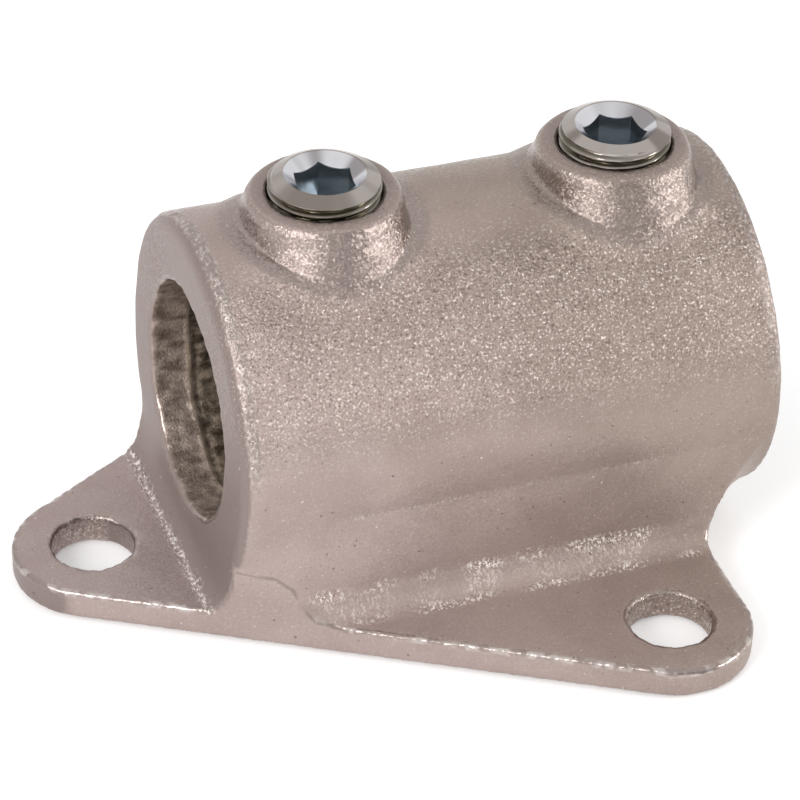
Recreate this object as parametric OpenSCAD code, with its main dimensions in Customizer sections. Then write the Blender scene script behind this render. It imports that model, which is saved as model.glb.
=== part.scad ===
// Flush side fixing: a cast tube fitting that screws to a wall and holds a tube close to it.
// Frame: origin at the centre of the three fixing holes, on the wall face of the plate.
// +X runs along the tube towards the overhanging end of the sleeve, +Z points away from the wall.

/* [Tube sleeve] */
// Outside diameter of the tube that the sleeve takes
tube_d = 33.7; // [26.9:0.1:42.4]
// Clearance on diameter between tube and bore
tube_clearance = 1.2; // [0.6:0.1:2]
// Wall of the sleeve
sleeve_wall = 9.75; // [8:0.05:12]
// Length of the sleeve along the tube
sleeve_length = 82; // [74:0.5:100]
// Gap between the underside of the sleeve and the wall
underside_gap = 0.2; // [0.1:0.05:1]
// Edge radius of the sleeve at the single ear
ear_end_edge_r = 2.4; // [1:0.1:4]
// Edge radius of the sleeve at its overhanging end
open_end_edge_r = 1.2; // [0.5:0.1:2]
// Edge radius at both mouths of the bore
bore_edge_r = 0.6; // [0.3:0.1:1.5]

/* [Wall plate] */
// Diameter of the circle through the three fixing holes
fixing_circle_d = 98.4; // [90:0.1:120]
// Diameter of a fixing hole
fixing_hole_d = 12.1; // [9:0.1:14]
// Width of metal round a fixing hole
ear_rim = 5.9; // [4:0.1:8]
// Thickness of the plate
plate_thickness = 4.6; // [3.5:0.1:8]
// Distance from the single ear's hole to the end face of the sleeve
ear_to_sleeve = 14.4; // [12:0.1:18]

/* [Skirt and fillets] */
// How far the skirt's sides lie inside the widest part of the sleeve
skirt_inset = 0.7; // [0.4:0.1:2]
// Fillet between the skirt's sides and the plate
skirt_fillet_r = 4.5; // [2:0.1:6]
// Radius of the hollow sweep from the sleeve's end face down to the single ear
ear_sweep_r = 9; // [6:0.5:14]
// How far that sweep runs out along the ear
ear_sweep_run = 3.2; // [2:0.1:5]
// Fillet between the end of the plate and the overhanging sleeve
overhang_fillet_r = 12; // [6:0.5:16]

/* [Screw bosses] */
// Distance from the sleeve's end face at the single ear to the first boss
ear_boss_inset = 20.5; // [18:0.1:26]
// Distance from the second boss to the overhanging end of the sleeve
open_boss_inset = 17.2; // [17:0.1:24]
// Height of a boss above the top of the sleeve
boss_height = 4.9; // [3:0.1:8]
// Width of metal round the screw at the top of a boss
boss_rim = 3.1; // [2.5:0.1:5]
// Edge radius round the top of a boss
boss_edge_r = 2; // [0.5:0.1:2.4]
// Radius of the hollow flare between boss and sleeve
boss_flare_r = 11.5; // [9:0.1:14]

/* [Set screws] */
// Thread diameter of a set screw
screw_d = 16.66; // [13.16:0.01:20]
// Gap between the screw and the wall of its hole
thread_gap = 0.2; // [0.1:0.05:0.3]
// Length of a set screw
screw_length = 14; // [11:0.5:16]
// How far a set screw stands above its boss
screw_proud = 2.7; // [0.5:0.1:3]
// Width of the chamfer round the top of a set screw
top_chamfer_width = 1.9; // [0.8:0.1:2]
// Depth of that chamfer
top_chamfer_depth = 1.2; // [0.5:0.1:1.5]
// Chamfer round the point of a set screw
screw_point_chamfer = 1.5; // [0.5:0.1:2.5]
// Diameter of the hollow in the point
point_hollow_d = 9; // [6:0.1:10]
// Depth of the hollow in the point
point_hollow_depth = 1.6; // [0.5:0.1:2]
// Width across flats of the hexagon socket
socket_width = 8; // [6:0.5:10]
// Depth of the hexagon socket below the top of the screw
socket_depth = 7; // [5:0.1:8]
// Diameter of the dished mouth of the socket
dish_d = 12.2; // [10:0.1:12.4]
// Depth of the dished mouth
dish_depth = 1.3; // [0.8:0.1:2]
// Turn of the socket in the screw by the single ear
ear_end_socket_turn = 22; // [0:1:60]
// Turn of the socket in the other screw
open_end_socket_turn = 36; // [0:1:60]

/* [Hidden] */
$fn = 96;
// Small overlap that keeps cuts and joins clean
over = 0.5;
cast_colour = [0.66, 0.60, 0.56];
screw_colour = [0.78, 0.80, 0.82];

bore_r = (tube_d + tube_clearance) / 2;
sleeve_r = bore_r + sleeve_wall;
axis_z = sleeve_r + underside_gap;

ear_r = fixing_hole_d / 2 + ear_rim;
hole_points = [for (i = [0:2]) fixing_circle_d / 2 * [cos(180 + 120 * i), sin(180 + 120 * i)]];
// Ends of the plate's straight edges, where they run into the round ears.
plate_corners = [for (i = [0:2]) for (side = [120, 240])
    hole_points[i] + ear_r * [cos(side + 120 * i), sin(side + 120 * i)]];
plate_end = fixing_circle_d / 4 + ear_r;

sleeve_start = ear_to_sleeve - fixing_circle_d / 2;
sleeve_end = sleeve_start + sleeve_length;
skirt_half = sleeve_r - skirt_inset;
// The sleeve's end face stands a hair proud of the skirt.
skirt_start = sleeve_start + 0.1;
skirt_end = min(plate_end, sleeve_end - open_end_edge_r - over);

// Height at which the ear's sweep leaves the sleeve's end face, above the plate.
ear_sweep_rise = sqrt(pow(ear_sweep_r, 2) - pow(ear_sweep_r - ear_sweep_run, 2));

// The overhang's fillet starts square to the end of the plate and runs out just before the sleeve's edge.
fillet_run = min(0.8 * overhang_fillet_r, sleeve_end - open_end_edge_r - over - skirt_end);
fillet_start = skirt_end - over;
fillet_end = skirt_end + fillet_run + over;
fillet_rise = sqrt(pow(overhang_fillet_r, 2) - pow(overhang_fillet_r - fillet_run, 2));

boss_places = [sleeve_start + ear_boss_inset, sleeve_end - open_boss_inset];
boss_r = screw_d / 2 + boss_rim;
boss_top = axis_z + sleeve_r + boss_height;
boss_side_top = boss_top - boss_edge_r;
// The flare ends just inside the sleeve's surface, before it would run level.
boss_foot_r = boss_r + 0.4 * boss_flare_r;
boss_foot = boss_side_top - 0.8 * boss_flare_r;

screw_r = screw_d / 2 - thread_gap;
screw_top = boss_top + screw_proud;
socket_corner_r = socket_width / 2 / cos(30);
// The dish is a cone of 120 degrees that breaks into the socket's flats.
dish_floor_r = dish_d / 2 - dish_depth * tan(60);

// Turns a profile drawn with X along the tube and Y outwards into a solid round the tube's axis.
module round_tube_axis() {
    translate([0, 0, axis_z]) rotate([0, 90, 0]) rotate_extrude() mirror([1, -1]) children();
}

// Corner of a square that a circle leaves.
// It rounds an edge where it is cut away and fills an inner corner where it is added.
module corner_piece(radius) {
    difference() {
        square(radius);
        translate([radius, radius]) circle(radius);
    }
}

// Sleeve before it is bored, with its outer edges rounded.
module sleeve() {
    round_tube_axis() difference() {
        translate([sleeve_start, 0]) square([sleeve_length, sleeve_r]);
        translate([sleeve_start, sleeve_r]) mirror([0, 1]) corner_piece(ear_end_edge_r);
        translate([sleeve_end, sleeve_r]) rotate(180) corner_piece(open_end_edge_r);
    }
}

// Outline of the plate: three round ears joined by straight edges.
module plate_outline() {
    polygon(plate_corners);
    for (p = hole_points) translate(p) circle(ear_r);
}

// Cross-section of the skirt: upright sides that sweep out onto a floor of the given half width.
module skirt_section(floor_half, bottom) {
    translate([-skirt_half, bottom]) square([2 * skirt_half, axis_z - bottom]);
    translate([-floor_half, bottom]) square([2 * floor_half, plate_thickness - bottom]);
    for (side = [0, 1]) {
        mirror([side, 0]) translate([skirt_half, plate_thickness]) corner_piece(skirt_fillet_r);
    }
}

// The skirt's section drawn out along the tube.
module skirt_bar(start, end, floor_half, bottom) {
    translate([start, 0, 0]) rotate([90, 0, 90]) linear_extrude(end - start)
        skirt_section(floor_half, bottom);
}

// The single ear's floor and the sweep from it up to the sleeve's end face, drawn out across the tube.
module ear_bar() {
    translate([skirt_start, fixing_circle_d, 0]) rotate([90, 0, 0]) linear_extrude(2 * fixing_circle_d) {
        translate([-fixing_circle_d, 0]) square([fixing_circle_d + over, plate_thickness]);
        translate([0, plate_thickness]) mirror([1, 0]) difference() {
            square([ear_sweep_run, ear_sweep_rise]);
            translate([ear_sweep_r, ear_sweep_rise]) circle(ear_sweep_r);
        }
    }
}

// Plate and skirt, cut to the outline of the plate.
module plate_and_skirt() {
    intersection() {
        linear_extrude(axis_z) plate_outline();
        union() {
            skirt_bar(skirt_start, plate_end + over, fixing_circle_d, 0);
            ear_bar();
        }
    }
}

// Sweep from the end of the plate up to the overhanging part of the sleeve.
module overhang_fillet() {
    intersection() {
        skirt_bar(fillet_start, fillet_end, skirt_half + skirt_fillet_r, underside_gap);
        round_tube_axis() difference() {
            translate([fillet_start, bore_r])
                square([fillet_end - fillet_start, sleeve_wall + fillet_rise]);
            translate([skirt_end + overhang_fillet_r, sleeve_r + fillet_rise]) circle(overhang_fillet_r);
        }
    }
}

// Round boss with a rounded top edge and a hollow flare that sinks into the sleeve.
module boss() {
    rotate_extrude() {
        translate([0, boss_foot]) square([boss_r - boss_edge_r, boss_top - boss_foot]);
        translate([boss_r - boss_edge_r, boss_side_top]) circle(boss_edge_r);
        difference() {
            translate([0, boss_foot]) square([boss_foot_r, boss_side_top - boss_foot]);
            translate([boss_r + boss_flare_r, boss_side_top]) circle(boss_flare_r);
        }
    }
}

// Bore for the tube, with rounded mouths.
module bore_cut() {
    round_tube_axis() {
        translate([sleeve_start - 2 * over, 0]) square([sleeve_length + 4 * over, bore_r]);
        for (mouth = [[sleeve_start, 0], [sleeve_end, 1]]) {
            translate([mouth[0], 0]) mirror([mouth[1], 0]) difference() {
                translate([-over, 0]) square([over + bore_edge_r, bore_r + bore_edge_r]);
                translate([bore_edge_r, bore_r + bore_edge_r]) circle(bore_edge_r);
            }
        }
    }
}

module cast_body() {
    color(cast_colour) difference() {
        union() {
            sleeve();
            plate_and_skirt();
            overhang_fillet();
            for (x = boss_places) translate([x, 0, 0]) boss();
        }
        bore_cut();
        for (x = boss_places) translate([x, 0, axis_z]) cylinder(r = screw_d / 2, h = boss_top);
        for (p = hole_points) {
            translate([p[0], p[1], -over]) cylinder(d = fixing_hole_d, h = plate_thickness + 2 * over);
        }
    }
}

// Half section of a set screw, standing on its point.
module screw_section() {
    polygon([
        [0, 0],
        [screw_r - screw_point_chamfer, 0],
        [screw_r, screw_point_chamfer],
        [screw_r, screw_length - top_chamfer_depth],
        [screw_r - top_chamfer_width, screw_length],
        [0, screw_length]
    ]);
}

// Set screw with a chamfered top, a dished hexagon socket and a hollow chamfered point.
module set_screw(socket_turn) {
    translate([0, 0, screw_top - screw_length]) difference() {
        rotate_extrude() screw_section();
        translate([0, 0, screw_length - socket_depth]) rotate(socket_turn)
            cylinder(r = socket_corner_r, h = socket_depth + over, $fn = 6);
        translate([0, 0, screw_length - dish_depth])
            cylinder(r1 = dish_floor_r, r2 = dish_d / 2, h = dish_depth);
        cylinder(d1 = point_hollow_d, d2 = 0, h = point_hollow_depth);
    }
}

module ear_end_set_screw() {
    color(screw_colour) translate([boss_places[0], 0, 0]) set_screw(ear_end_socket_turn);
}

module open_end_set_screw() {
    color(screw_colour) translate([boss_places[1], 0, 0]) set_screw(open_end_socket_turn);
}

cast_body();
ear_end_set_screw();
open_end_set_screw();
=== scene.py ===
# %% [markdown]
# # A flush side fixing, dressed for a studio picture
# The object is a galvanised iron casting that screws to a wall and clamps a tube close to it.
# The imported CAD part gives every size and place. This lesson keeps those and adds what casting,
# galvanising and machining leave behind: soft edges, a sandy skin, zinc runs and a cut thread.

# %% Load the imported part
import math

import bmesh
import bpy
import numpy as np
from mathutils import Matrix, Vector, noise


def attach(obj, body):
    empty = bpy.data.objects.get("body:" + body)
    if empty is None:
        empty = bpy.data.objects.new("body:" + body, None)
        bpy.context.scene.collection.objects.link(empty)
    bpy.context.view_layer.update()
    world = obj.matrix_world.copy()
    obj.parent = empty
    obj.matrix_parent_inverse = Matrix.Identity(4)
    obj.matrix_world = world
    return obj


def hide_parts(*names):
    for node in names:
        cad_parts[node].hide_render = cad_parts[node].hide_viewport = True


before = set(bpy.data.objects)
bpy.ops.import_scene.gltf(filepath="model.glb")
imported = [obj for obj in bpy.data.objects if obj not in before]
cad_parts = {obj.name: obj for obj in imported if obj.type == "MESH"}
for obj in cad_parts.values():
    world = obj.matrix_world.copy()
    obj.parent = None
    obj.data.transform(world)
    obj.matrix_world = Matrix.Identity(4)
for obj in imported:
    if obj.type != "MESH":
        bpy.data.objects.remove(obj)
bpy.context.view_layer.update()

MM = 0.001
scene = bpy.context.scene

# %% [markdown]
# ## The sizes that the looks lean on
# A texture or a thread has to sit on the solid, so the lesson repeats the few CAD sizes it needs,
# in millimetres. They could be measured from the node's mesh, but written out they are easier to read.

# %% Sizes from the CAD part, in millimetres
BORE_R = 17.45
SLEEVE_R = 27.2
SLEEVE_START = -34.8
SLEEVE_END = 47.2
AXIS_Z = 27.4
PLATE_TOP = 4.6
BOSS_X = {"ear_end_set_screw": -14.3, "open_end_set_screw": 30.0}
BOSS_R = 11.43
BOSS_TOP = 59.5
SCREW_HOLE_R = 8.33
FIXING_HOLES = [(-49.2, 0.0), (24.6, -42.608), (24.6, 42.608)]
FIXING_HOLE_R = 6.05

# %% [markdown]
# ## An even skin for the casting
# The CAD mesh has long thin triangles, which can't take lumps or soft edges. A bevel on each edge
# would be one way, but a sand casting has no drawn edge anywhere. So the copy is first remeshed
# into small even squares by the voxel Remesh modifier, and then shaped by moving its vertices.

# %% Copy the casting and remesh it
VOXEL = 0.42 * MM


def merged_copy(node_name, piece_name):
    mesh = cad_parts[node_name].data.copy()
    bm = bmesh.new()
    bm.from_mesh(mesh)
    bmesh.ops.remove_doubles(bm, verts=bm.verts, dist=1e-6)
    bm.to_mesh(mesh)
    bm.free()
    mesh.materials.clear()
    piece = bpy.data.objects.new(piece_name, mesh)
    scene.collection.objects.link(piece)
    return piece


def bake_modifiers(piece):
    bpy.context.view_layer.update()
    shaped = piece.evaluated_get(bpy.context.evaluated_depsgraph_get())
    piece.data = bpy.data.meshes.new_from_object(shaped)
    piece.modifiers.clear()


casting = merged_copy("cast_body", "galvanised_casting")
remesh = casting.modifiers.new("even skin", "REMESH")
remesh.mode = "VOXEL"
remesh.voxel_size = VOXEL
bake_modifiers(casting)
print("casting:", len(casting.data.vertices), "vertices,", len(casting.data.polygons), "faces")

# %% [markdown]
# ## Helpers for working on many vertices at once
# A loop over a quarter of a million vertices is slow in Python, so the skin is read into arrays.
# The mean of each vertex's neighbours gives both a smoothing step and a measure of how hollow
# or how proud the surface is there.

# %% Arrays of the skin
skin = casting.data
POINTS = len(skin.vertices)
edge_ends = np.empty(len(skin.edges) * 2, dtype=np.int64)
skin.edges.foreach_get("vertices", edge_ends)
ends_a, ends_b = edge_ends[0::2], edge_ends[1::2]
neighbour_count = np.bincount(edge_ends, minlength=POINTS).astype(float)


def neighbour_mean(values):
    total = np.bincount(ends_a, weights=values[ends_b], minlength=POINTS)
    total += np.bincount(ends_b, weights=values[ends_a], minlength=POINTS)
    return total / neighbour_count


def neighbour_mean_xyz(points):
    return np.stack([neighbour_mean(points[:, k]) for k in range(3)], axis=1)


def spread(values, rounds):
    for _ in range(rounds):
        values = 0.5 * values + 0.5 * neighbour_mean(values)
    return values


def step(values, low, high):
    t = np.clip((values - low) / (high - low), 0.0, 1.0)
    return t * t * (3 - 2 * t)


def read_points():
    flat = np.empty(POINTS * 3)
    skin.vertices.foreach_get("co", flat)
    return flat.reshape(-1, 3) / MM


def write_points(points):
    skin.vertices.foreach_set("co", (points * MM).ravel())
    skin.update()


def read_normals():
    flat = np.empty(POINTS * 3, dtype=np.float32)
    skin.vertex_normals.foreach_get("vector", flat)
    return flat.reshape(-1, 3).astype(float)


def noise_field(points, size, seed):
    scaled = points / np.array(size) + np.array((17.3, 5.1, 9.7)) * seed
    return np.array([noise.noise(p) for p in scaled.tolist()])


def smooth(points, amount, rounds):
    for _ in range(rounds):
        points = points + amount[:, None] * (neighbour_mean_xyz(points) - points)
    return points


# %% [markdown]
# ## Where is what
# Each mask is a number from 0 to 1 per vertex: inside the bore, inside a screw hole, on the flare
# round a boss, on an end's edge, on the wall face. The rest of the lesson multiplies its effects by
# these. Painted vertex groups would do too, but a formula can be read and follows the sizes.
# The flanks of a boss, on the two sides across the tube, get masks of their own for a fuller shape.

# %% Masks of the casting's regions
UPPER_PART = AXIS_Z + 10
EAR_INBOARD = (-31.5, -29.5)
OPEN_OUTBOARD = (40.0, 43.0)
ACROSS_TUBE = (0, 12)
FLANK_HEIGHTS = (-58.8, -54.0)
SLEEVE_UPPER = (26, 36)
SHOULDER_BEGINS, SHOULDER_ENDS = (8, 38), (60, 86)
# Span of the painted shade along the part.
SIDE_SHADE_SPAN = (-20, 58)
points = read_points()
normals = read_normals()
x, y, z = points.T
tube_radius = np.hypot(y, z - AXIS_Z)
in_bore = step(-tube_radius, -BORE_R - 0.35, -BORE_R + 0.05)
screw_hole = np.zeros(POINTS)
flare = np.zeros(POINTS)
flank = np.zeros(POINTS)
swell = np.zeros(POINTS)
inboard = step(x, *EAR_INBOARD) * (1 - step(x, *OPEN_OUTBOARD))
inboard *= step(np.abs(y), *ACROSS_TUBE)
inboard *= 1 - in_bore
for boss_x in BOSS_X.values():
    ring = np.hypot(x - boss_x, y)
    upper = (z > UPPER_PART) * 1.0
    screw_hole = np.maximum(screw_hole, upper * step(-ring, -SCREW_HOLE_R - 0.4, -SCREW_HOLE_R))
    outside_rim = step(ring, BOSS_R - 1.2, BOSS_R - 0.2)
    on_flare = outside_rim * (1 - step(ring, BOSS_R + 2.0, BOSS_R + 5.0))
    flare = np.maximum(flare, upper * on_flare * (1 - in_bore))
    round_foot = step(ring, BOSS_R + 0.2, BOSS_R + 1.5) * (1 - step(ring, BOSS_R + 6.0, BOSS_R + 8.0))
    flank = np.maximum(flank, upper * round_foot * inboard)
    round_boss = step(-z, *FLANK_HEIGHTS) * (1 - step(ring, BOSS_R + 2.0, BOSS_R + 6.0))
    swell = np.maximum(swell, upper * round_boss * inboard * outside_rim)
fixing_hole = np.zeros(POINTS)
for hole_x, hole_y in FIXING_HOLES:
    ring = np.hypot(x - hole_x, y - hole_y)
    fixing_hole = np.maximum(fixing_hole, step(-ring, -FIXING_HOLE_R - 0.9, -FIXING_HOLE_R - 0.1))
wall_face = step(-z, -1.3, -0.6)
ear_end = step(-normals[:, 0], 0.5, 0.65) * (x < SLEEVE_START + 1.0)
open_end = step(normals[:, 0], 0.85, 0.96) * (x > SLEEVE_END - 1.0)
end_face = (ear_end + open_end) * (1 - in_bore)
ear_edge = step(-x, 31.8, 32.6) * step(tube_radius, SLEEVE_R - 2.6, SLEEVE_R - 2.0)
ear_edge *= step(z, *SLEEVE_UPPER)
ear_edge *= 1 - ear_end
open_edge = step(x, SLEEVE_END - 2.6, SLEEVE_END - 1.6)
open_edge *= step(tube_radius, SLEEVE_R - 2.4, SLEEVE_R - 1.6)
open_edge = 0.7 * open_edge * step(z, *SLEEVE_UPPER) * (1 - open_end)
end_edge = np.maximum(ear_edge, open_edge)
from_top = np.degrees(np.arctan2(np.abs(y), z - AXIS_Z))
shoulder = step(from_top, *SHOULDER_BEGINS) * (1 - step(from_top, *SHOULDER_ENDS)) * (1 - in_bore)
# The grain mask peaks on the shoulders; it sets the bump there, and the material paints glints and
# shade on the grains.
rough_places = (
    0.17 + 0.83 * shoulder, 0.5 * in_bore, 0.8 * flare, 0.8 * fixing_hole, 0.9 * end_edge,
)
grain = np.max(rough_places, axis=0) * (1 - 0.7 * end_face)
boss_top = step(z, BOSS_TOP - 0.5, BOSS_TOP - 0.2) * (1 - screw_hole)
# Painted shade: the skin turns darker towards the open end and the top.
side_shade = step(x + 0.6 * z, *SIDE_SHADE_SPAN)
print("bore", int((in_bore > 0.5).sum()), "flare", int((flare > 0.5).sum()), "vertices")

# %% [markdown]
# ## Draft, soft corners and a run-in seam
# A pattern leaves the sand only if its sides lean a little, so the sleeve is a touch longer by the
# wall than at its top. Molten iron fills every hollow corner, most of all where the sleeve's
# underside runs into the plate at the single ear. There a seam line shows where two flows met.
# The flanks of the bosses are fuller than a plain hollow flare, so they are pushed out a little.
# Smoothing all over would shrink the bore, so masks keep each step to its own place.

# %% Lean the ends and soften the corners
DRAFT = 0.45
SWELL = 1.3
PULL = 0.5
CORNER_ROUNDS, CREASE_ROUNDS, SWEEP_ROUNDS = 14, 160, 60
FLANK_ROUNDS, WALL_EDGE_ROUNDS = 25, 8
lean = step(z, 5, 10) * (1 - 2 * step(z, 10, 52))
x -= DRAFT * step(-x, 30, 34.5) * np.clip(lean, 0, 1)
x += DRAFT * step(x, 38, 46.5) * lean


def distance_to_line(points, corners):
    best = np.full(len(points), np.inf)
    for a, b in zip(corners, corners[1:]):
        a, along = np.array(a), np.array(b) - np.array(a)
        t = np.clip((points - a) @ along / (along @ along), 0, 1)
        best = np.minimum(best, np.linalg.norm(points - a - t[:, None] * along, axis=1))
    return best


hollow = ((neighbour_mean_xyz(points) - points) * normals).sum(axis=1)
corner = step(spread(hollow, 2), 0.012, 0.04) * (1 - screw_hole)
corner = np.clip(spread(corner, 5) * 1.6, 0, 1)
points = smooth(points, PULL * corner, CORNER_ROUNDS)
for side in (-1, 1):
    crease = [(-34.7, side * 22.2, 11.7), (-30.5, side * 24.6, 16.0), (-27.2, side * 26.5, 21.3)]
    fill = 1 - step(distance_to_line(points, crease), 2.0, 6.5)
    fill *= step(points[:, 0], -34.4, -32.4) * (1 - in_bore)
    points = smooth(points, PULL * fill, CREASE_ROUNDS)
sweep_top = [(-34.8, -21.0, 11.5), (-34.8, 21.0, 11.5)]
clear_of_bore = step(tube_radius, BORE_R + 0.7, BORE_R + 1.6)
fill = (1 - step(distance_to_line(points, sweep_top), 1.5, 4.0)) * clear_of_bore
fill *= 1 - step(np.abs(points[:, 1]), 19.5, 21.5)
points = smooth(points, PULL * fill, SWEEP_ROUNDS)
points += (SWELL * swell)[:, None] * normals
points = smooth(points, PULL * flank, FLANK_ROUNDS)
wall_edge = step(-points[:, 2], -1.4, -0.8)
points = smooth(points, PULL * wall_edge, WALL_EDGE_ROUNDS)
points = smooth(points, 0.3 * (1 - screw_hole), 1)
write_points(points)
print("softened", int((corner > 0.5).sum()), "corner vertices")

# %% [markdown]
# ## Waves, lumps and chips
# Sand and pattern leave gentle waves. The zinc bath leaves lumps on the flares, short runs across
# the plate's fillet and a chipped bead on every edge. Each is a noise field of its own size, moved
# along the normals. In the bore, scars and a ring of flash show where the sand core was joined.
# Grain finer than the mesh is left to the material's bump.

# %% Give the skin its relief
LONG_WAVE, SHORT_WAVE = 0.15, 0.06
LUMP, RUN, CHIP = 0.085, 0.20, 0.15
FINE_SCAR, COARSE_SCAR, FLASH_HEIGHT = 0.16, 0.13, 0.4
CORE_JOINT = -29.3
SEAM_DEPTH = 0.06
normals = read_normals()
hollow = ((neighbour_mean_xyz(points) - points) * normals).sum(axis=1)
fillet = step(spread(hollow, 6), 0.0035, 0.008) * (1 - in_bore) * (1 - screw_hole)
edge = step(-spread(hollow, 1), 0.012, 0.04) * (1 - screw_hole) * (1 - wall_face)
calm = np.clip(screw_hole + wall_face, 0, 1)
outside = 1 - in_bore
waves = noise_field(points, 11.0, 1) * LONG_WAVE + noise_field(points, 5.0, 2) * SHORT_WAVE
lumps = noise_field(points, 1.8, 3) * LUMP * np.maximum(flare, 0.25)
clusters = step(noise_field(points, 6.0, 9), -0.25, 0.35)
runs = noise_field(points, (1.3, 4.0, 4.0), 4) * RUN * fillet * (0.25 + 0.75 * clusters)
chips = noise_field(points, 1.2, 5) * CHIP * np.max((edge, fixing_hole, end_edge), axis=0)
sweep_foot = [(-37.9, -26.0, PLATE_TOP), (-37.9, 26.0, PLATE_TOP)]
foot = np.exp(-((distance_to_line(points, sweep_foot) / 0.6) ** 2))
bead = foot * (0.06 + 0.32 * noise_field(points, 1.1, 10))
core_line = CORE_JOINT + 1.5 * noise_field(points, 9.0, 6)
core_gap = points[:, 0] - core_line
flash = np.exp(-((core_gap / 0.35) ** 2)) - 0.8 * np.exp(-(((core_gap - 0.9) / 0.4) ** 2))
flash *= 0.5 + 0.5 * step(noise_field(points, 3.0, 8), -0.3, 0.3)
scars = noise_field(points, 1.4, 7) * FINE_SCAR + noise_field(points, 4.0, 11) * COARSE_SCAR
scars += FLASH_HEIGHT * flash
relief = (waves + lumps + runs + chips + bead) * outside + scars * in_bore
SEAM = [
    (-34.4, -22.4, 12.5), (-32.0, -23.7, 12.2), (-29.6, -25.1, 12.1), (-27.3, -26.4, 10.4),
    (-26.2, -27.1, 7.7), (-24.6, -28.0, 5.2), (-20.5, -30.4, 4.2),
]
seam = 1 - step(distance_to_line(points, SEAM), 0.15, 0.55)
relief = relief * (1 - calm) - SEAM_DEPTH * seam
points += relief[:, None] * normals
write_points(points)
print("skin moved by up to", round(float(np.abs(relief).max()), 2), "mm")

# %% [markdown]
# ## Keep the masks, then thin out the mesh
# The material needs some of the masks, so they are stored on the vertices as attributes.
# Flat parts don't need squares of half a millimetre. The Decimate modifier takes vertices away
# where that changes the shape least, and carries the attributes along.

# %% Store the masks and thin out
MOST_TRIANGLES = 190_000


def keep_mask(mesh, name, values):
    layer = mesh.attributes.new(name, "FLOAT", "POINT")
    layer.data.foreach_set("value", np.ascontiguousarray(values, dtype=np.float32))


low_down = 1 - step(points[:, 2], AXIS_Z - 8, AXIS_Z)
# This mask places real zinc runs for the bump and painted glints for the colour.
runs_and_glints = fillet * clusters * low_down
by_plate_top = step(points[:, 2], 2.6, 3.6) * (1 - step(points[:, 2], 6.0, 7.0))
# Painted highlight along the plate's top edges, kept off the fixing holes.
plate_edge_glint = edge * by_plate_top * (1 - fixing_hole)
bright_places = (flare, edge, end_edge)
keep_mask(skin, "zinc_run", np.clip(np.max(bright_places, axis=0), 0, 1))
keep_mask(skin, "runs_and_glints", np.max((runs_and_glints, foot, 0.35 * end_edge), axis=0))
keep_mask(skin, "plate_edge_glint", plate_edge_glint)
keep_mask(skin, "grain", grain)
keep_mask(skin, "flash", np.clip(flash, 0, 1) * in_bore)
keep_mask(skin, "in_bore", np.maximum(in_bore, screw_hole))
# Deeper in the bore the material paints it darker: painted shade.
keep_mask(skin, "deep_bore_shade", step(x, -30.5, -28.0) * (1 - step(x, 40.0, 44.0)))
# End faces and boss tops: the material gives them a painted shade.
keep_mask(skin, "end_face", np.maximum(end_face, 0.7 * boss_top))
keep_mask(skin, "side_shade", side_shade)
keep_mask(skin, "seam", seam)
skin.polygons.foreach_set("use_smooth", np.ones(len(skin.polygons), dtype=bool))
thin = casting.modifiers.new("fewer on flat parts", "DECIMATE")
thin.ratio = MOST_TRIANGLES / (2 * len(skin.polygons))
bake_modifiers(casting)
skin = casting.data
print("casting:", sum(len(f.vertices) - 2 for f in skin.polygons), "triangles")

# %% [markdown]
# ## Set screws
# Each is turned from bar, with a pipe thread, a chamfered rim and a hexagon socket under a cone.
# A half section spun round the axis gives all that is round. Then the rings that belong to the
# socket are drawn out to a hexagon, and the rings on the side are pushed in to a helical thread.
# A Screw modifier could cut the thread, but not run it out into the chamfer and the point.

# %% Half section of a set screw
SCREW_R = 8.13
SCREW_LENGTH = 14.0
SCREW_TOP = 62.2
CREST_R = 6.08
CHAMFER_SLOPE = 2.05 / 1.1
SOCKET_HALF = 4.0
SOCKET_DEPTH = 7.0
DISH_R = 6.0
DISH_SLOPE = math.tan(math.radians(50))
POINT_CHAMFER = 1.5
PITCH = 1.337
THREAD_DEPTH = 0.62
THREAD_TURN = {"ear_end_set_screw": 0.974, "open_end_set_screw": 0.226}
SOCKET_TURN = {"ear_end_set_screw": 22.0, "open_end_set_screw": 36.0}
STEPS = 180
ROW_GAP = 0.1
SHARP_FROM = math.radians(32)


def half_section():
    wall = [(SOCKET_HALF, -SOCKET_DEPTH), (SOCKET_HALF, -4.4), (SOCKET_HALF, -2.2)]
    cone = [(4.75, -1.05), (5.1, -0.75), (5.5, -0.42), (5.85, -0.13)]
    crest = [(5.93, -0.045), (6.0, 0.0), (CREST_R, -0.015)]
    rows = int((SCREW_LENGTH - POINT_CHAMFER) / ROW_GAP)
    depths = [ROW_GAP * i for i in range(1, rows + 1)]
    side = [(min(SCREW_R, CREST_R + CHAMFER_SLOPE * depth), -depth) for depth in depths]
    point = [(6.63, -SCREW_LENGTH), (4.5, -SCREW_LENGTH), (0.0, -SCREW_LENGTH + 1.6)]
    return [(0.0, -SOCKET_DEPTH - 0.9)] + wall + cone + crest + side + point


print("half section:", len(half_section()), "points")

# %% Spin, then shape the socket and the thread
SOCKET_WALL = range(1, 4)
CONE = range(4, 8)
SIDE = range(11, len(half_section()) - 3)


def hexagon_radius(angle):
    return SOCKET_HALF / math.cos(angle % (math.pi / 3) - math.pi / 6)


def ease(value, low, high):
    return float(step(np.array(value), low, high))


def thread_dip(z, angle, turn):
    fade = 1 - ease(-z, SCREW_LENGTH - 1.9, SCREW_LENGTH - POINT_CHAMFER)
    phase = (z / PITCH - angle / (2 * math.pi) + turn) % 1.0
    return fade * THREAD_DEPTH * ease(abs(2 * phase - 1), 0.12, 0.88)


def softer_min(a, b, soft=0.12):
    gap = max(soft - abs(a - b), 0) / soft
    return min(a, b) - gap * gap * soft / 4


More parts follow.
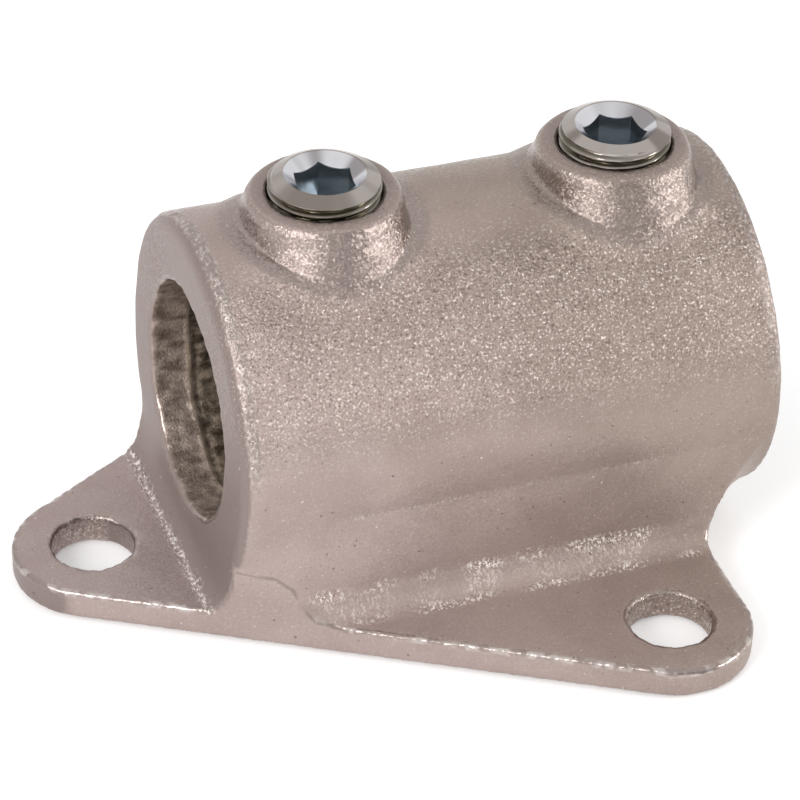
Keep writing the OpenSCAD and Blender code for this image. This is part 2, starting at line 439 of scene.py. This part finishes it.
def turned_body(section):
    bm = bmesh.new()
    layers = {name: bm.verts.layers.float.new(name) for name in ("groove", "socket", "rim", "reflection_wedge")}
    line = [bm.verts.new((r, 0, z)) for r, z in section]
    edges = [bm.edges.new(pair) for pair in zip(line, line[1:])]
    bmesh.ops.spin(
        bm, geom=line + edges, cent=(0, 0, 0), axis=(0, 0, 1), dvec=(0, 0, 0),
        angle=2 * math.pi, steps=STEPS, use_merge=True, use_normal_flip=False, use_duplicate=False,
    )
    bmesh.ops.remove_doubles(bm, verts=bm.verts, dist=1e-4)
    return bm, layers


def socket_and_thread(v, rows, layers, turn):
    r, angle = math.hypot(v.co.x, v.co.y), math.atan2(v.co.y, v.co.x)
    row = int(np.argmin(np.hypot(rows[:, 0] - r, rows[:, 1] - v.co.z)))
    new_r, new_z = r, v.co.z
    flat = hexagon_radius(angle)
    if row in SOCKET_WALL:
        lip = -(DISH_R - flat) / DISH_SLOPE
        share = (row - SOCKET_WALL[0]) / (len(SOCKET_WALL) - 1)
        new_r = flat
        new_z = -SOCKET_DEPTH + share * (lip - 0.12 + SOCKET_DEPTH)
    elif row in CONE:
        share = (row - CONE[0]) / (len(CONE) - 1)
        inner = flat + 0.05
        new_r = inner + share * (rows[CONE[-1], 0] - inner)
        new_z = -(DISH_R - new_r) / DISH_SLOPE
    elif row in SIDE:
        dip = thread_dip(v.co.z, angle, turn)
        new_r = softer_min(CREST_R - CHAMFER_SLOPE * v.co.z, SCREW_R - dip)
        v[layers["groove"]] = ease(-v.co.z, 0.9, 1.2) * (0.35 + 0.65 * dip / THREAD_DEPTH)
    v[layers["socket"]] = 1.0 if row < CONE[0] else 0.0
    v[layers["rim"]] = 1.0 if row > CONE[-1] else 0.0
    # Wedge patches round the axis, for painted reflections on the cone and the rim.
    round_place = Vector((math.cos(angle), math.sin(angle), turn)) * 1.7
    v[layers["reflection_wedge"]] = ease(noise.noise(round_place), -0.25, 0.2)
    if r > 1e-6:
        v.co.x, v.co.y = v.co.x * new_r / r, v.co.y * new_r / r
    v.co.z = new_z


def make_screw(node_name):
    section = half_section()
    bm, layers = turned_body(section)
    for v in bm.verts:
        socket_and_thread(v, np.array(section), layers, THREAD_TURN[node_name])
    bmesh.ops.recalc_face_normals(bm, faces=bm.faces)
    place = Matrix.Translation((BOSS_X[node_name], 0, SCREW_TOP))
    place = place @ Matrix.Rotation(math.radians(SOCKET_TURN[node_name]), 4, "Z")
    bmesh.ops.transform(bm, matrix=Matrix.Scale(MM, 4) @ place, verts=bm.verts)
    for f in bm.faces:
        f.smooth = True
    for e in bm.edges:
        e.smooth = e.is_boundary or e.calc_face_angle(0) < SHARP_FROM
    mesh = bpy.data.meshes.new(node_name + "_turned")
    bm.to_mesh(mesh)
    bm.free()
    piece = bpy.data.objects.new(node_name + "_turned", mesh)
    scene.collection.objects.link(piece)
    return piece


screws = {name: make_screw(name) for name in BOSS_X}
for name, piece in screws.items():
    print(name, len(piece.data.polygons), "faces")

# %% [markdown]
# ## Materials
# Both finishes are metals, so their colour is what they reflect. The casting's colour varies from
# patch to patch, and the stored masks choose the bore, the end faces, the edges and the seam.
# Some of that colour is painted light: glints on the grains, runs and edges, painted shade on the
# grains, the end faces, the boss tops, towards the open end and deep in the bore, and painted
# reflections on the screws.
# Zinc freezes into tiny crystals, each facing its own way. A Voronoi texture stands for them: the
# colour of each cell tilts the normal, so that single grains flash. Noise bump adds the sand grain.

# %% Small helpers for node trees
def new_material(name):
    material = bpy.data.materials.new(name)
    material.use_nodes = True
    tree = material.node_tree
    shader = tree.nodes["Principled BSDF"]
    return material, tree, shader


def add_node(tree, kind, **inputs):
    node = tree.nodes.new(kind)
    for key, value in inputs.items():
        node.inputs[key].default_value = value
    return node


def noise_node(tree, coords, scale, detail=2.0, roughness=0.5):
    node = add_node(tree, "ShaderNodeTexNoise")
    node.inputs["Scale"].default_value = scale
    node.inputs["Detail"].default_value = detail
    node.inputs["Roughness"].default_value = roughness
    tree.links.new(coords, node.inputs["Vector"])
    return node.outputs["Fac"]


def ramp(tree, value, low, high, to_low=0.0, to_high=1.0):
    node = tree.nodes.new("ShaderNodeMapRange")
    node.interpolation_type = "SMOOTHSTEP"
    for key, number in zip(("From Min", "From Max", "To Min", "To Max"), (low, high, to_low, to_high)):
        node.inputs[key].default_value = number
    tree.links.new(value, node.inputs["Value"])
    return node.outputs["Result"]


def mix_colour(tree, fac, a, b):
    node = tree.nodes.new("ShaderNodeMix")
    node.data_type = "RGBA"
    tree.links.new(fac, node.inputs["Factor"])
    for socket, colour in (("A", a), ("B", b)):
        target = [s for s in node.inputs if s.name == socket and s.type == "RGBA"][0]
        if isinstance(colour, tuple):
            target.default_value = (*colour, 1)
        else:
            tree.links.new(colour, target)
    return [s for s in node.outputs if s.type == "RGBA"][0]


def calc(tree, kind, a, b):
    node = tree.nodes.new("ShaderNodeMath")
    node.operation = kind
    for socket, value in zip(node.inputs, (a, b)):
        if isinstance(value, (int, float)):
            socket.default_value = value
        else:
            tree.links.new(value, socket)
    return node.outputs["Value"]


def mask(tree, name):
    node = tree.nodes.new("ShaderNodeAttribute")
    node.attribute_name = name
    return node.outputs["Fac"]


# %% Galvanised casting: grain, flecks and painted glints
GRAIN_SIZE = 1 / 3600
FACET_TILT = 0.8
BUMP_DEPTH = 0.00028
FLECK_SCALE, SPECK_SCALE, BEAD_SCALE, PIT_SCALE = 2800, 1500, 2300, 1300
# Near-white for painted glints on grains, runs and edges.
PAINTED_GLINT = (0.92, 0.85, 0.80)
LIGHT_SKIN = (0.425, 0.332, 0.310), (0.468, 0.371, 0.348)
# Darker copies of the skin tones, for painted shade.
SIDE_SHADE_SKIN = (0.330, 0.260, 0.222), (0.375, 0.299, 0.257)
# Painted shade for the end faces and the boss tops.
END_FACE_SHADE = (0.280, 0.219, 0.202)
SILVERY = (0.325, 0.272, 0.254)
# Painted shade of the grains.
SHADE_FLECK = (0.16, 0.13, 0.11)
# Painted glints of the grains.
GLINT_FLECK = (0.78, 0.71, 0.66)
PIT = (0.15, 0.12, 0.10)
SEAM_LINE = (0.20, 0.16, 0.14)
BORE_MOUTH = (0.22, 0.17, 0.14), (0.54, 0.44, 0.38)
# Darker tones deeper in the bore: painted shade in the recess.
SHADED_BORE_INSIDE = (0.06, 0.045, 0.03), (0.40, 0.32, 0.245)
CORE_FLASH = (0.46, 0.36, 0.28)


def vector_calc(tree, kind, a, b):
    node = tree.nodes.new("ShaderNodeVectorMath")
    node.operation = kind
    for socket, value in zip(node.inputs, (a, b)):
        if isinstance(value, tuple):
            socket.default_value = value
        else:
            tree.links.new(value, socket)
    return node.outputs["Vector"]


def stretched(tree, coords, scale):
    node = add_node(tree, "ShaderNodeMapping", Scale=scale)
    tree.links.new(coords, node.inputs["Vector"])
    return node.outputs["Vector"]


def bead_noise(tree, coords):
    upright = stretched(tree, coords, (1, 0.65, 0.65))
    return noise_node(tree, upright, BEAD_SCALE, 2, 0.6)


def facet_normal(tree, coords, amount):
    cells = add_node(tree, "ShaderNodeTexVoronoi", Scale=1 / GRAIN_SIZE)
    tree.links.new(coords, cells.inputs["Vector"])
    tilt = vector_calc(tree, "SUBTRACT", cells.outputs["Color"], (0.5, 0.5, 0.5))
    tilt = vector_calc(tree, "MULTIPLY", tilt, amount)
    normal = tree.nodes.new("ShaderNodeNewGeometry").outputs["Normal"]
    return vector_calc(tree, "NORMALIZE", vector_calc(tree, "ADD", normal, tilt), (0, 0, 0))


# %% Galvanised casting: colour
def skin_colour(tree, coords, smooth_run, level):
    patches = ramp(tree, noise_node(tree, coords, 90, 3), 0.35, 0.65)
    lighter = mix_colour(tree, patches, *LIGHT_SKIN)
    side_shaded = mix_colour(tree, patches, *SIDE_SHADE_SKIN)
    # Painted shade towards the open end and the top, over the patchy tone.
    colour = mix_colour(tree, mask(tree, "side_shade"), lighter, side_shaded)
    # End faces and boss tops painted darker: painted shade.
    colour = mix_colour(tree, mask(tree, "end_face"), colour, END_FACE_SHADE)
    colour = mix_colour(tree, calc(tree, "MULTIPLY", smooth_run, 0.5), colour, SILVERY)
    # Dark and light flecks, strongest on the shoulders: painted shade and painted glints of the
    # grains.
    fine = noise_node(tree, coords, FLECK_SCALE, 3, 0.6)
    dark = calc(tree, "MULTIPLY", ramp(tree, fine, 0.34, 0.44, 0.75, 0.0), level)
    dark = calc(tree, "MULTIPLY", dark, ramp(tree, smooth_run, 0, 1, 1.0, 0.2))
    colour = mix_colour(tree, dark, colour, SHADE_FLECK)
    light = calc(tree, "MULTIPLY", ramp(tree, fine, 0.57, 0.65), level)
    return mix_colour(tree, light, colour, GLINT_FLECK)


# Painted glints as specks, beads and edge spots, then real dark pits and the seam line.
def spots_and_glints(tree, coords, colour):
    # Pale specks all over: painted glints of single grains.
    speck_glints = ramp(tree, noise_node(tree, coords, SPECK_SCALE, 2), 0.72, 0.77, 0.0, 0.6)
    colour = mix_colour(tree, speck_glints, colour, PAINTED_GLINT)
    # Beads on the fillet runs, the foot and the end edge: painted glints.
    bead_glints = ramp(tree, bead_noise(tree, coords), 0.51, 0.60)
    colour = mix_colour(tree, calc(tree, "MULTIPLY", bead_glints, mask(tree, "runs_and_glints")), colour, PAINTED_GLINT)
    # Spots along the plate's top edges: a painted highlight.
    chipped = ramp(tree, noise_node(tree, coords, 500, 3), 0.46, 0.60, 0.0, 0.4)
    colour = mix_colour(tree, calc(tree, "MULTIPLY", chipped, mask(tree, "plate_edge_glint")), colour, PAINTED_GLINT)
    pits = ramp(tree, noise_node(tree, coords, PIT_SCALE, 2), 0.70, 0.76, 0.0, 0.8)
    colour = mix_colour(tree, pits, colour, PIT)
    seam = ramp(tree, mask(tree, "seam"), 0.3, 1.0, 0.0, 0.55)
    return mix_colour(tree, seam, colour, SEAM_LINE)


def bore_colour(tree, coords):
    along_tube = stretched(tree, coords, (0.5, 1, 1))
    streaks = ramp(tree, noise_node(tree, along_tube, 600, 4, 0.6), 0.35, 0.7)
    mouth = mix_colour(tree, streaks, *BORE_MOUTH)
    # Deeper inside, darker tones: painted shade in the recess.
    inside = mix_colour(tree, streaks, *SHADED_BORE_INSIDE)
    inner = mix_colour(tree, mask(tree, "deep_bore_shade"), mouth, inside)
    return mix_colour(tree, mask(tree, "flash"), inner, CORE_FLASH)


# %% Galvanised casting: bump and the whole material
def grain_bump(tree, coords, level, bore):
    grains = noise_node(tree, coords, 2400, 4, 0.62)
    coarse = noise_node(tree, coords, 700, 2, 0.5)
    height = calc(tree, "ADD", grains, calc(tree, "MULTIPLY", coarse, 0.5))
    height = calc(tree, "MULTIPLY", calc(tree, "SUBTRACT", height, 0.75), level)
    strokes = calc(tree, "SUBTRACT", bead_noise(tree, coords), 0.5)
    strokes = calc(tree, "MULTIPLY", strokes, calc(tree, "MULTIPLY", mask(tree, "runs_and_glints"), 2.0))
    bump = add_node(tree, "ShaderNodeBump", Strength=1.0, Distance=BUMP_DEPTH)
    tree.links.new(calc(tree, "ADD", height, strokes), bump.inputs["Height"])
    amount = calc(tree, "MULTIPLY", level, ramp(tree, bore, 0.2, 0.8, FACET_TILT, 0.0))
    tree.links.new(facet_normal(tree, coords, amount), bump.inputs["Normal"])
    return bump.outputs["Normal"]


def galvanised_casting():
    material, tree, shader = new_material("galvanised_casting")
    coords = tree.nodes.new("ShaderNodeTexCoord").outputs["Object"]
    grain, run, bore = (mask(tree, name) for name in ("grain", "zinc_run", "in_bore"))
    smooth_run = ramp(tree, run, 0.1, 0.8)
    level = calc(tree, "MULTIPLY", grain, ramp(tree, smooth_run, 0, 1, 1.0, 0.5))
    colour = spots_and_glints(tree, coords, skin_colour(tree, coords, smooth_run, level))
    colour = mix_colour(tree, bore, colour, bore_colour(tree, coords))
    tree.links.new(colour, shader.inputs["Base Color"])
    bare = calc(tree, "MAXIMUM", smooth_run, grain)
    tree.links.new(ramp(tree, bare, 0.3, 0.9, 0.45, 0.95), shader.inputs["Metallic"])
    tree.links.new(ramp(tree, bare, 0.3, 1.0, 0.42, 0.29), shader.inputs["Roughness"])
    shader.inputs["Specular IOR Level"].default_value = 0.2
    tree.links.new(grain_bump(tree, coords, level, bore), shader.inputs["Normal"])
    return material


# %% Zinc-plated screws
# Dark and light tones for painted reflections on the cone and the rim.
CONE_ZINC_REFLECTIONS = (0.36, 0.34, 0.35), (0.74, 0.74, 0.77)
RIM_ZINC_REFLECTIONS = (0.27, 0.232, 0.208), (0.46, 0.415, 0.385)
THREAD_GROOVE = (0.11, 0.10, 0.07)
SOCKET_ZINC = (0.46, 0.495, 0.52)


def zinc_plate():
    material, tree, shader = new_material("zinc_plated_screw")
    coords = tree.nodes.new("ShaderNodeTexCoord").outputs["Object"]
    # Wedge patches on the cone and the rim: painted reflections.
    colour = mix_colour(tree, mask(tree, "reflection_wedge"), *CONE_ZINC_REFLECTIONS)
    ring = mix_colour(tree, mask(tree, "reflection_wedge"), *RIM_ZINC_REFLECTIONS)
    colour = mix_colour(tree, mask(tree, "rim"), colour, ring)
    groove = ramp(tree, mask(tree, "groove"), 0.15, 0.9)
    colour = mix_colour(tree, groove, colour, THREAD_GROOVE)
    colour = mix_colour(tree, mask(tree, "socket"), colour, SOCKET_ZINC)
    tree.links.new(colour, shader.inputs["Base Color"])
    shader.inputs["Metallic"].default_value = 1.0
    shader.inputs["Roughness"].default_value = 0.22
    bump = add_node(tree, "ShaderNodeBump", Strength=0.25, Distance=0.0001)
    tree.links.new(noise_node(tree, coords, 900, 3), bump.inputs["Height"])
    tree.links.new(bump.outputs["Normal"], shader.inputs["Normal"])
    return material


casting.data.materials.append(galvanised_casting())
plate = zinc_plate()
for piece in screws.values():
    piece.data.materials.append(plate)
print("materials:", [m.name for m in bpy.data.materials if m.users])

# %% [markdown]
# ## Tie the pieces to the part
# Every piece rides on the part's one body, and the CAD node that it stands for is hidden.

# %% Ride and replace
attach(casting, "root")
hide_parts("cast_body")
for name, piece in screws.items():
    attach(piece, "root")
    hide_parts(name)

# %% [markdown]
# ## Camera
# A camera fit of the photograph's edges gave its place, focal length and slight roll.
# The rotation is built from the three directions of the camera, so nothing has to be tracked.

# %% Camera
AZIMUTH, ELEVATION, ROLL = (math.radians(a) for a in (-21.461, 35.924, 2.1335))
CAMERA_PLACE = (-0.15673, -0.39430, 0.32690)
FOCAL_LENGTH = 158.84
back = Vector((
    math.sin(AZIMUTH) * math.cos(ELEVATION),
    -math.cos(AZIMUTH) * math.cos(ELEVATION),
    math.sin(ELEVATION),
))
level_right = Vector((math.cos(AZIMUTH), math.sin(AZIMUTH), 0))
level_up = back.cross(level_right)
right = math.cos(ROLL) * level_right + math.sin(ROLL) * level_up
up = math.cos(ROLL) * level_up - math.sin(ROLL) * level_right
lens = bpy.data.cameras.new("camera")
lens.sensor_width = 36
lens.lens = FOCAL_LENGTH
camera = bpy.data.objects.new("camera", lens)
turn = Matrix((right, up, back)).transposed().to_4x4()
camera.matrix_world = Matrix.Translation(CAMERA_PLACE) @ turn
scene.collection.objects.link(camera)
scene.camera = camera
print("camera at", [round(v, 4) for v in camera.location])

# %% [markdown]
# ## Floor and light
# The light is that of a bright tent with two soft lamps, one on the left and one lower on the right.
# The tent's front is open and darker, so the metal has something dark to mirror between the lamps.
# The flares and edges mirror the lamps, and the grains between them flash. The world shows plain
# white to the camera, and the floor adds a little glow where it is seen and keeps the shadow.

# %% Floor
WHITE = (1, 1, 1, 1)
FLOOR_PAINT = (0.9, 0.9, 0.9, 1)
FLOOR_GLOW = 0.3


def seen_directly(tree):
    path = tree.nodes.new("ShaderNodeLightPath").outputs
    seen = calc(tree, "MAXIMUM", path["Is Camera Ray"], path["Is Glossy Ray"])
    return calc(tree, "MAXIMUM", seen, path["Is Transmission Ray"])


bm = bmesh.new()
bmesh.ops.create_grid(bm, x_segments=1, y_segments=1, size=6.0)
bmesh.ops.translate(bm, verts=bm.verts, vec=(0, 0, -0.0004))
floor_mesh = bpy.data.meshes.new("floor")
bm.to_mesh(floor_mesh)
bm.free()
floor = bpy.data.objects.new("floor", floor_mesh)
scene.collection.objects.link(floor)
floor_paint, floor_tree, floor_shader = new_material("floor_paint")
floor_shader.inputs["Base Color"].default_value = FLOOR_PAINT
floor_shader.inputs["Roughness"].default_value = 0.9
floor_shader.inputs["Specular IOR Level"].default_value = 0.0
floor_shader.inputs["Emission Color"].default_value = WHITE
glow = calc(floor_tree, "MULTIPLY", seen_directly(floor_tree), FLOOR_GLOW)
floor_tree.links.new(glow, floor_shader.inputs["Emission Strength"])
floor_mesh.materials.append(floor_paint)

# %% World and lamps
TENT = 0.78
TENT_IN_METAL = 0.86
OPEN_FRONT = (0.40, -0.89, 0.20)
FRONT_SHARE = 0.42
OPENING_EDGE = (0.66, 0.96)
world = bpy.data.worlds.new("tent")
world.use_nodes = True
scene.world = world
tent_tree = world.node_tree
tent = tent_tree.nodes["Background"]
tent.inputs["Color"].default_value = WHITE
direction = tent_tree.nodes.new("ShaderNodeTexCoord").outputs["Generated"]
facing = tent_tree.nodes.new("ShaderNodeVectorMath")
facing.operation = "DOT_PRODUCT"
facing.inputs[1].default_value = Vector(OPEN_FRONT).normalized()
tent_tree.links.new(direction, facing.inputs[0])
opening = ramp(tent_tree, facing.outputs["Value"], *OPENING_EDGE, 1.0, FRONT_SHARE)
brightness = ramp(tent_tree, seen_directly(tent_tree), 0, 1, TENT, TENT_IN_METAL)
seen_by_camera = tent_tree.nodes.new("ShaderNodeLightPath").outputs["Is Camera Ray"]
shown = calc(tent_tree, "MAXIMUM", calc(tent_tree, "MULTIPLY", brightness, opening), seen_by_camera)
tent_tree.links.new(shown, tent.inputs["Strength"])


def lamp(name, towards, distance, size, power):
    light = bpy.data.lights.new(name, "AREA")
    light.shape = "DISK"
    light.size = size
    light.energy = power
    piece = bpy.data.objects.new(name, light)
    place = Vector((0, 0, 0.03)) + Vector(towards).normalized() * distance
    turn = Vector(towards).to_track_quat("Z", "Y").to_matrix().to_4x4()
    piece.matrix_world = Matrix.Translation(place) @ turn
    scene.collection.objects.link(piece)
    return piece


lamp("left_lamp", towards=(-0.70, -0.46, 0.55), distance=0.9, size=0.36, power=3.0)
lamp("right_lamp", towards=(0.81, -0.47, 0.34), distance=0.9, size=0.30, power=2.8)
scene.view_settings.view_transform = "Standard"
